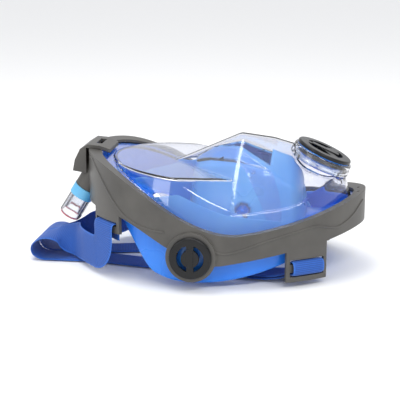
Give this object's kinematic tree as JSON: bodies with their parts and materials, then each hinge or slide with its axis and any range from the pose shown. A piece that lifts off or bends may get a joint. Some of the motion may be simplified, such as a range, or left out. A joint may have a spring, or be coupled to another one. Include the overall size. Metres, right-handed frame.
{
  "type": "snorkel mask",
  "caption": "Full-face snorkel mask with curved clear lens, silicone skirt and nose cup, twist-off drain valves, snorkel port and webbing head harness",
  "frame": {"origin": "on the table under the middle of the whole mask, which is also the centre of the frame's crown arc", "axes": "+X from the forehead to the chin, +Y to the wearer's left, +Z out of the lens"},
  "size_m": [0.3038, 0.2108, 0.12],
  "materials": {
    "frame_grey": "satin moulded grey",
    "cover_black": "satin black",
    "lens_clear": "clear polycarbonate",
    "port_clear": "clear polycarbonate",
    "silicone_blue": "translucent blue silicone",
    "cup_blue": "pale translucent blue silicone",
    "retainer_clear": "clear blue-tinted",
    "band_blue": "gloss light blue",
    "gasket_red": "soft red",
    "webbing_blue": "woven elastic webbing",
    "steel": "bright steel"
  },
  "bodies": {
    "mask": {"frame_left": "frame_grey", "frame_right": "frame_grey", "forehead_bracket": "frame_grey", "lens": "lens_clear", "chin_screws": "steel", "port_band": "band_blue", "port_tube": "port_clear", "port_gasket": "gasket_red", "skirt": "silicone_blue", "oronasal_cup": "cup_blue", "cup_retainer": "retainer_clear", "left_cup_valve_seat": "retainer_clear", "right_cup_valve_seat": "retainer_clear", "chin_valve_seat": "frame_grey", "chin_valve_seal": "gasket_red", "left_valve_seat": "frame_grey", "left_valve_seal": "gasket_red", "right_valve_seat": "frame_grey", "right_valve_seal": "gasket_red", "strap_left": "webbing_blue", "strap_right": "webbing_blue"},
    "chin_cover": {"chin_valve_cover": "cover_black"},
    "chin_flap": {"chin_valve_flap": "silicone_blue"},
    "left_cover": {"left_valve_cover": "cover_black"},
    "left_flap": {"left_valve_flap": "silicone_blue"},
    "right_cover": {"right_valve_cover": "cover_black"},
    "right_flap": {"right_valve_flap": "silicone_blue"},
    "left_cup_flap": {"left_cup_valve_flap": "silicone_blue"},
    "right_cup_flap": {"right_cup_valve_flap": "silicone_blue"},
    "left_keeper": {"keeper_left": "webbing_blue"},
    "right_keeper": {"keeper_right": "webbing_blue"}
  },
  "joints": [
    {"name": "chin_cover_twist", "type": "hinge", "parent": "mask", "child": "chin_cover", "pos_m": [0.113, 0, 0.101], "axis": [0.4067, 0, 0.9135], "range_deg": [0, 30]},
    {"name": "chin_flap_lift", "type": "slide", "parent": "mask", "child": "chin_flap", "axis": [0.4067, 0, 0.9135], "range_m": [0, 0.0015], "stiffness_N_per_m": 40, "springref_m": -0.001},
    {"name": "left_cover_twist", "type": "hinge", "parent": "mask", "child": "left_cover", "pos_m": [0.008, 0.0992, 0.03], "axis": [0, 1, 0], "range_deg": [0, 30]},
    {"name": "left_flap_lift", "type": "slide", "parent": "mask", "child": "left_flap", "axis": [0, 1, 0], "range_m": [0, 0.0015], "stiffness_N_per_m": 40, "springref_m": -0.001},
    {"name": "right_cover_twist", "type": "hinge", "parent": "mask", "child": "right_cover", "pos_m": [0.008, -0.0992, 0.03], "axis": [0, -1, 0], "range_deg": [0, 30]},
    {"name": "right_flap_lift", "type": "slide", "parent": "mask", "child": "right_flap", "axis": [0, -1, 0], "range_m": [0, 0.0015], "stiffness_N_per_m": 40, "springref_m": -0.001},
    {"name": "left_cup_flap_lift", "type": "slide", "parent": "mask", "child": "left_cup_flap", "axis": [0, -0.906, -0.4233], "range_m": [0, 0.001], "stiffness_N_per_m": 40, "springref_m": -0.001},
    {"name": "right_cup_flap_lift", "type": "slide", "parent": "mask", "child": "right_cup_flap", "axis": [0, 0.906, -0.4233], "range_m": [0, 0.001], "stiffness_N_per_m": 40, "springref_m": -0.001},
    {"name": "left_keeper_slide", "type": "slide", "parent": "mask", "child": "left_keeper", "axis": [0.9749, 0.2228, 0], "range_m": [-0.012, 0.012]},
    {"name": "right_keeper_slide", "type": "slide", "parent": "mask", "child": "right_keeper", "axis": [0.9749, -0.2228, 0], "range_m": [-0.012, 0.012]}
  ]
}
